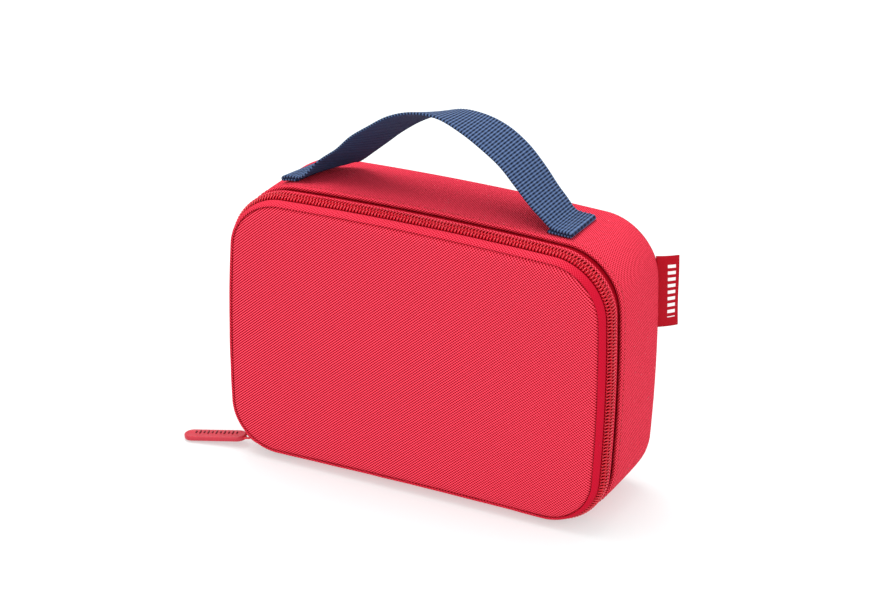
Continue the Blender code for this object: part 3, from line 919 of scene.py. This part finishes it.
def lid_lining_depth(x, z):
    """Flat over the foam, turned up along the edge into the flange that is sewn to the zip."""
    edge = edge_distance_mm(x, z, 4.2)
    waves = slack(x, z, (0.22, 30, 23), (0.12, 11, 24))
    return 6.15 + 2.8 * exp(-(edge / 1.25) ** 2) + abs(waves) * min(1, edge / 10)


def lining_relief(distance, depth):
    """Soft creases across the wall's lining."""
    x, z, _, _ = outline_at(distance)
    run = min(1, max(0, (depth - 19) / 53))
    return -4 * run * (1 - run) * abs(0.35 * wobble((x, z, depth * MM * 0.5), 19 * MM, 25))


def make_linings(finishes):
    """The wipe-clean tub and the lid's inside."""
    wall = smooth([(3.3, 12.2), (3.3, 17.6), (3.9, 18.5), (5.2, 19.1), (5.4, 21), (5.4, 30)], 4)
    wall += [Vector((5.4, depth)) for depth in range(34, 70, 4)] + [Vector((5.4, 72))]
    tub = swept_band("case_wall_lining", wall, finishes["lining"], relief=lining_relief)
    finish_piece(thicken(tub, LINING), "case", "grey_lining", "body_lining")
    end = padded_panel("case_back_lining", 5.7, lining_depth, finishes["lining"], 30, 22)
    finish_piece(thicken(end, LINING), "case", "grey_lining", "body_lining")
    lid = padded_panel("lid_inside_lining", 4.2, lid_lining_depth, finishes["lining"], 44, 32, False)
    finish_piece(thicken(lid, LINING), "lid", "grey_lining", "lid_lining")


# ---- zip

def make_zip(finishes):
    """Tapes, the two rows of the nylon coil, and the end stops."""
    case_tape = [(2.3, 10.4), (2.05, 11.4), (1.95, 13.8), (1.4, 15.2), (1.5, 16.4)]
    case_tape += [(2.1, 17.3), (2.35, 19), (2.5, 22), (2.6, 25)]
    lid_tape = [(4.9, 4.5), (4.35, 5.6), (3.85, 6.4), (2.75, 9.0), (2.5, 9.8)]
    for name, section, body, node in (
        ("case_zip_tape", case_tape, "case", "body_zip_tape"),
        ("front_zip_tape", lid_tape, "lid", "lid_zip_tape"),
    ):
        tape = swept_band(name, smooth(section, 3), finishes["tape"], ZIP_START, ZIP_END, 2 * MM)
        finish_piece(thicken(tape, 0.5 * MM), body, "red_tape", node)
    piping = [(1.4, 14.1), (0.6, 14.2), (0.22, 14.7), (0.2, 15.4), (0.5, 16.1), (1.1, 16.6), (2.0, 16.9)]
    ridge = swept_band("case_zip_ridge", smooth(piping, 3), finishes["fabric"], ZIP_START, ZIP_END, 2 * MM)
    finish_piece(thicken(ridge, 0.3 * MM), "case", "red_tape")
    lid_turn = [(2.05, 7.4), (1.6, 8.1), (1.1, 9.1), (0.8, 10)]
    lid_turn += [(1.2, 10.5), (1.95, 9.9), (2.4, 8.8), (2.8, 7.6)]
    case_turn = [(0.75, 13.6), (0.4, 12.8), (0.35, 11.3), (0.6, 10.2)]
    case_turn += [(1.15, 9.7), (1.6, 10.6), (1.6, 12.2), (1.5, 13.5)]
    coil_row("lid_coil_row", lid_turn, 0.0, "lid", "lid_zip_coil", finishes)
    coil_row("case_coil_row", case_turn, 0.5, "case", "body_zip_coil", finishes)
    case_stop = [(0.1, 10.0), (-0.1, 13.6), (1.7, 13.8), (1.9, 10.4)]
    lid_stop = [(2.2, 6.2), (0.7, 9.6), (2.3, 9.8), (3.6, 6.5)]
    for name, section, body, node in (
        ("case_end_stop", case_stop, "case", "zip_end_stop_body"),
        ("front_end_stop", lid_stop, "lid", "zip_end_stop_lid"),
    ):
        stop = swept_band(name, section, finishes["nylon"], STOP_START, STOP_END, 0.6 * MM, closed=True)
        finish_piece(rounded(stop, 0.4 * MM, 3), body, "red_nylon", node)


def coil_row(name, turn, offset, body, node, finishes):
    """One row of the chain: a monofilament wound flat, whose heads reach past the parting."""
    turn = [Vector(p) for p in turn]
    lengths = lengths_along(turn + turn[:1])
    points = []
    for count in range(int((ZIP_END - COIL_START) / TOOTH_PITCH) - 1):
        for (inset, depth), length in zip(turn, lengths):
            advance = max(0, length / lengths[-1] - 0.45) / 0.55
            distance = COIL_START + (count + offset + advance) * TOOTH_PITCH
            points.append(place(distance, inset, depth))
    bm = bmesh.new()
    add_tube(bm, points, COIL_RADIUS, 8)
    finish_piece(build(name, bm, finishes["nylon"]), body, "red_nylon", node)


def make_slider(finishes):
    """Shield over both rows, wedge between them, plate behind the case's row, and the bail."""
    nylon = finishes["nylon"]
    shield = slider_shield(nylon)
    finish_piece(rounded(shield, 0.3 * MM, 3), "slider", "red_nylon", "zip_slider")
    wedge = [(-0.4, 9.8), (3.6, 9.8), (3.6, 10.4), (-0.4, 10.4)]
    plate = [(3.2, 9.8), (3.2, 11.6), (4.0, 11.6), (4.0, 9.8)]
    for name, section, back, ahead, edge in (
        ("slider_wedge", wedge, 2.2 * MM, 4.9 * MM, 0.15 * MM),
        ("slider_back_plate", plate, SLIDER_HALF, SLIDER_HALF, 0.2 * MM),
    ):
        bar = swept_band(name, section, nylon, SLIDER_AT - back, SLIDER_AT + ahead, 0.8 * MM, closed=True)
        finish_piece(rounded(bar, edge), "slider", "red_nylon", "zip_slider")
    arch = [(-2.7, -1.1), (-2.6, -2.2), (-1.9, -3.5), (0, -4), (1.9, -3.5), (2.6, -2.2), (2.7, -1.1)]
    bm = bmesh.new()
    bail = [place(SLIDER_AT + along * MM, inset, PULL_AXIS_DEPTH_MM) for along, inset in smooth(arch, 4)]
    add_tube(bm, bail, 0.62 * MM, 10)
    finish_piece(build("slider_bail", bm, nylon), "slider", "red_nylon", "zip_slider")


def slider_shield(material):
    """A closed plate that follows the corner, narrower at its ends, over both rows of the zip."""
    half_width, low, high = 3.5, -0.45, -1.3
    rows = []
    distances = evenly(SLIDER_AT - SLIDER_HALF, SLIDER_AT + SLIDER_HALF, 0.6 * MM)
    for distance in distances:
        t = (distance - SLIDER_AT) / SLIDER_HALF
        half = half_width * (1 - 0.22 * t ** 2 - 0.18 * t ** 6)
        crown = 0.35 * (1 - t ** 4)
        corners = [(low, -half), (low, half), (high, half * 0.86), (high - crown, 0), (high, -half * 0.86)]
        rows.append([place(distance, inset, PARTING_MM + across) for inset, across in corners])
    vs = [v * half_width * MM for v in range(len(rows[0]) + 1)]
    return grid_object("slider_shield", rows, distances, vs, material, wrap_columns=True)


# ---- pull

def pull_matrix():
    """Takes x along the pull, y across it and z up out of it; its far end lies on the ground."""
    drop = PULL_AXIS.z - PULL_THICKNESS / 2 - 0.3 * MM
    reach = PULL_START + PULL_LENGTH - PULL_THICKNESS / 2
    along = Vector((cos(PULL_YAW), sin(PULL_YAW), -drop / reach)).normalized()
    across = Vector((-sin(PULL_YAW), cos(PULL_YAW), 0))
    up = along.cross(across)
    return Matrix.Translation(PULL_AXIS) @ Matrix((along, across, up)).transposed().to_4x4()


def racetrack(length, width):
    """Points of a flat oval whose near end is at x = 0."""
    radius = width / 2
    points = []
    for middle, start in ((length - radius, -90), (radius, 90)):
        for step in range(OVAL_STEPS + 1):
            angle = radians(start + 180 * step / OVAL_STEPS)
            points.append(Vector((middle + radius * cos(angle), radius * sin(angle), 0)))
    return points


def make_pull(finishes):
    """A wire link and the moulded tab, with a raised rim and a row of small generic bars."""
    turn = pull_matrix()
    wire = bpy.data.curves.new("link_wire", "CURVE")
    wire.dimensions = "3D"
    wire.bevel_depth = LINK_RADIUS
    wire.bevel_resolution = 4
    spline = wire.splines.new("POLY")
    points = racetrack(LINK_LENGTH, LINK_WIDTH)
    spline.points.add(len(points) - 1)
    for point, spot in zip(spline.points, points):
        point.co = (*(turn @ spot), 1)
    spline.use_cyclic_u = True
    wire.materials.append(finishes["nylon"])
    link = show(bpy.data.objects.new("link_wire", wire))
    finish_piece(link, "pull", "red_nylon", "pull_link")

    half = PULL_THICKNESS / 2
    face = [(3.6, 0.66), (2.3, 0.68), (1.9, 0.72), (1.65, 0.86), (1.4, 0.97), (1, 1), (0.55, 0.96)]
    face += [(0.2, 0.82), (0.02, 0.55), (0, 0.1)]
    profile = face + [(inset, -level) for inset, level in reversed(face)]
    rows = []
    for inset, level in profile:
        ring = racetrack(PULL_LENGTH - 2 * inset * MM, PULL_WIDTH - 2 * inset * MM)
        rows.append([turn @ (p + Vector((PULL_START + inset * MM, 0, level * half))) for p in ring])
    us = [u * MM for u in lengths_along([Vector(p) for p in profile])]
    vs = list(range(len(rows[0]) + 1))
    tab = grid_object("pull_tab_body", rows, us, vs, finishes["plastic"], wrap_columns=True)
    finish_piece(tab, "pull", "red_soft_plastic", "pull_tab")

    bm = bmesh.new()
    for count in range(11):
        x = PULL_START + (6 + count * 2.4) * MM
        reach = (1.5 if count % 2 else 0.9) * MM
        for side in (-1, 1):
            height = side * 0.72 * half
            ends = [Vector((x, PULL_MARKS_Y + across, height)) for across in (-reach, 0, reach)]
            add_tube(bm, [turn @ p for p in ends], 0.5 * MM, 8)
    bars = build("pull_tab_bars", bm, finishes["plastic_dark"])
    finish_piece(bars, "pull", "red_soft_plastic", "pull_tab")


# ---- hinge strip and tag

def make_hinge_strip(finishes):
    """The fabric between the zip's two ends, where the lid folds."""
    section = [(3.6, 5.6), (3.3, 6.4), (2.2, 10), (0.7, 13.4), (0.2, 15.2), (0.3, 17), (1, 18.6), (2.2, 19.8)]
    strip = swept_band("hinge_fabric", smooth(section, 4), finishes["fabric"], -HINGE_END_X, HINGE_END_X)
    finish_piece(thicken(strip, 0.8 * MM), "case", "red_fabric", "hinge_strip")
    strip.parent = None  # left without a parent, in world space
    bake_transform(strip)


def make_tag(finishes):
    """A folded ribbon held in the back seam, with a slight curl."""
    fold, thickness = 0.42 * MM, 0.36 * MM
    reach = TAG_ROOT + TAG_REACH - fold
    front_side = [(reach * i / 10, -fold) for i in range(10)]
    angles = [radians(a) for a in (-90, -60, -30, 0, 30, 60, 90)]
    turn = [(reach + fold * cos(a), fold * sin(a)) for a in angles]
    plan = front_side + turn + [(x, -y) for x, y in reversed(front_side)]
    us = lengths_along([Vector(p) for p in plan])
    heights = evenly(0, TAG_HEIGHT, 1.5 * MM)
    root = WIDTH / 2 + 0.3 * MM
    rows = []
    for x, y in plan:
        row = []
        for height in heights:
            z = TAG_BOTTOM + height
            lean = TAG_LEAN * (0.75 + 0.25 * x / reach) + 0.10 * sin(height / TAG_HEIGHT * pi * 1.3 + 0.4)
            seam_x = bulged(root, z)[0]
            out, back = x - TAG_ROOT, y
            spot = (seam_x + out * cos(lean) - back * sin(lean), out * sin(lean) + back * cos(lean))
            row.append(Vector((spot[0], FRONT + TAG_DEPTH_MM * MM + spot[1], z)))
        rows.append(row)
    tag = grid_object("woven_tag", rows, us, heights, finishes["tag"])
    finish_piece(thicken(tag, thickness, 0), "case", "red_tape", "side_tag")


# ---- handle

def top_surface(x):
    """(x, z) of the case's top, which drops at its round corners."""
    past = max(0, abs(x) - STRAIGHT_X)
    drop = CORNER_RADIUS - sqrt(CORNER_RADIUS**2 - past**2)
    return bulged(x, HEIGHT - drop)


def strap_keys():
    """(x, height, tilt, shift, turn) along the webbing: the sewn ends, their folds and the arch."""
    lower, upper = PAD_LAYERS_MM
    middle, radius = (lower + upper) / 2, (upper - lower) / 2
    left, right = LEFT_FOLD_X / MM, RIGHT_FOLD_X / MM
    left_end, right_end = (0, 0.3, LEFT_PAD_TURN), (PAD_TILT, PAD_SHIFT_MM, 0)
    angles = [radians(angle) for angle in (-90, -45, 0, 45, 90)]
    fold = [(radius * cos(angle), middle + radius * sin(angle)) for angle in angles]
    keys = [(left + x, lower, *left_end) for x in (8, 6.5, 5, 3)]
    keys += [(left - out, height, *left_end) for out, height in fold]
    keys += [(left + 4, upper, *left_end), (left + 9, upper + 0.05, *left_end)]
    for x, height, tilt, shift in ARCH_MM:
        turn = LEFT_PAD_TURN * max(0, min(1, (-62 - x) / 14))
        keys.append((x, height, tilt, shift, turn))
    keys += [(right - x, upper, *right_end) for x in (6, 3)]
    keys += [(right + out, height, *right_end) for out, height in reversed(fold)]
    return keys + [(right - x, lower, *right_end) for x in (4, 7, 10, 13)]


def strap_stations():
    """Evenly spaced (centre, tangent, width direction, length so far) along the webbing."""
    fine = []
    for x, height, tilt, shift, turn in smooth(strap_keys(), 10):
        px, pz = top_surface(max(-WIDTH / 2, min(WIDTH / 2, x * MM)))
        fine.append((Vector((px, HANDLE_Y + shift * MM, pz + height * MM)), tilt, turn))
    travelled = lengths_along([centre for centre, _, _ in fine])
    stations = []
    i = 0
    for length in evenly(0, travelled[-1], RIB_PITCH / 6):
        while i < len(fine) - 2 and travelled[i + 1] < length:
            i += 1
        part = (length - travelled[i]) / max(travelled[i + 1] - travelled[i], 1e-9)
        (centre, tilt, turn), (after, next_tilt, next_turn) = fine[i], fine[i + 1]
        tangent = (after - centre).normalized()
        angle = radians(tilt + (next_tilt - tilt) * part)
        swing = radians(turn + (next_turn - turn) * part)
        back = Vector((sin(swing), cos(swing), 0))
        face = tangent.cross(back).normalized()
        across = back * cos(angle) - face * (sin(angle) * (1 if face.z > 0 else -1))
        stations.append((centre.lerp(after, part), tangent, across, length))
    return stations


def strap_ring():
    """Points (across, out, ribbed) round the webbing's section, with thinner rounded edges."""
    half, thick = WEBBING_WIDTH / 2, WEBBING_THICKNESS / 2
    flat = [half * (i / 9) * 0.95 for i in range(-9, 10)]
    top = [(w, thick, 1) for w in flat]
    edge = [(half * 0.985, thick * 0.72, 0.5), (half, thick * 0.3, 0.35), (half, -thick * 0.3, 0.35)]
    edge.append((half * 0.985, -thick * 0.72, 0.5))
    right = top + edge
    return right + [(-w, -out, ribbed) for w, out, ribbed in right]


def make_handle(finishes):
    """One length of ribbed webbing: sewn flat at both ends, folded over, and arched between them."""
    ring = strap_ring()
    rows, us = [], []
    for centre, tangent, across, length in strap_stations():
        out = tangent.cross(across).normalized()
        rib = RIB_RELIEF * abs(sin(pi * length / RIB_PITCH)) ** 0.7
        row = []
        for w, level, ribbed in ring:
            sign = 1 if level > 0 else -1
            level += sign * ribbed * (rib - RIB_RELIEF * 0.6)
            row.append(centre + across * w + out * level)
        rows.append(row)
        us.append(length)
    vs = [w for w, _, _ in ring]
    vs.append(vs[0])
    strap = grid_object("handle_strap", rows, us, vs, finishes["webbing"], wrap_columns=True)
    strap.data.materials.append(finishes["webbing_under"])
    first_below, first_edge = len(ring) // 2, len(ring) - 3
    for face in strap.data.polygons:
        columns = [index % len(ring) for index in face.vertices]
        if len(columns) == 4 and first_below <= min(columns) and max(columns) < first_edge:
            face.material_index = 1
    finish_piece(strap, "case", "navy_webbing", "handle_webbing", "handle_end_left", "handle_end_right")
    strap.parent = None  # left without a parent, in world space
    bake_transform(strap)


def make_handle_stitches(finishes):
    """Rows of thread across the sewn ends."""
    bm = bmesh.new()
    for side, fold, turn, rows in (
        (-1, LEFT_FOLD_X, LEFT_PAD_TURN, (1.5, 4.5)),
        (1, RIGHT_FOLD_X, 0, (2.0, 4.6, 7.2)),
    ):
        for inwards in rows:
            x = fold - side * inwards * MM
            back = Vector((sin(radians(turn)), cos(radians(turn)), 0))
            px, pz = top_surface(x)
            centre = Vector((px, HANDLE_Y, pz + (PAD_LAYERS_MM[1] + 0.78) * MM))
            for step in range(-6, 7):
                middle = centre + back * (step * 2.3 * MM)
                lift = Vector((0, 0, 0.12 * MM))
                ends = [middle - back * 0.85 * MM - lift, middle, middle + back * 0.85 * MM - lift]
                add_tube(bm, ends, 0.2 * MM, 6)
    finish_piece(build("handle_stitches", bm, finishes["navy_thread"]), "case", "navy_webbing")


# ---- seams

def make_seams(finishes):
    """The topstitching on the case's fold beside the zip, and the threads of the handle's ends."""
    make_handle_stitches(finishes)
    route = []
    for distance in evenly(0, PERIMETER, 4 * MM):
        proud = 0.12 + case_band_relief(distance, TOPSTITCH_DEPTH_MM)
        route.append(place(distance, -proud, TOPSTITCH_DEPTH_MM))
    row = stitch_row("case_topstitch", route, 2.3 * MM, 0.7 * MM, 0.16 * MM, finishes["red_thread"])
    finish_piece(row, "case", "red_tape")


# ---- main

def all_finishes():
    return {
        "fabric": red_weave("red_weave", 0.12 * MM).material,
        "edge": edge_fabric(),
        # The tape's colours are partly painted shade behind the coil and in the groove
        "tape": narrow_tape("red_tape_weave", TAPE_SHADED_RED, TAPE_HOLE_SHADE, 0.55 * MM, 0.30 * MM, 0.7),
        "nylon": nylon(),
        "plastic": soft_plastic("red_soft_plastic", PLASTIC_RED),
        "plastic_dark": soft_plastic("dark_marks", PLASTIC_DARK),
        "webbing": webbing(),
        "webbing_under": webbing_underside(),
        "tag": tag_weave(),
        "lining": lining(),
        "binding": narrow_tape("grey_binding_weave", BINDING_LIGHT, BINDING_DARK, 0.6 * MM, 0.4 * MM, 0.85),
        "foam": foam(),
        "red_thread": thread("red_thread", RED_THREAD),
        "navy_thread": thread("navy_thread", NAVY_THREAD),
    }


def main():
    set_camera()
    set_light()
    make_floor(floor_finish())
    finishes = all_finishes()
    make_lid_cover(finishes)
    make_case_cover(finishes)
    make_inside(finishes)
    make_linings(finishes)
    make_zip(finishes)
    make_slider(finishes)
    make_pull(finishes)
    make_hinge_strip(finishes)
    make_tag(finishes)
    make_handle(finishes)
    make_seams(finishes)


main()
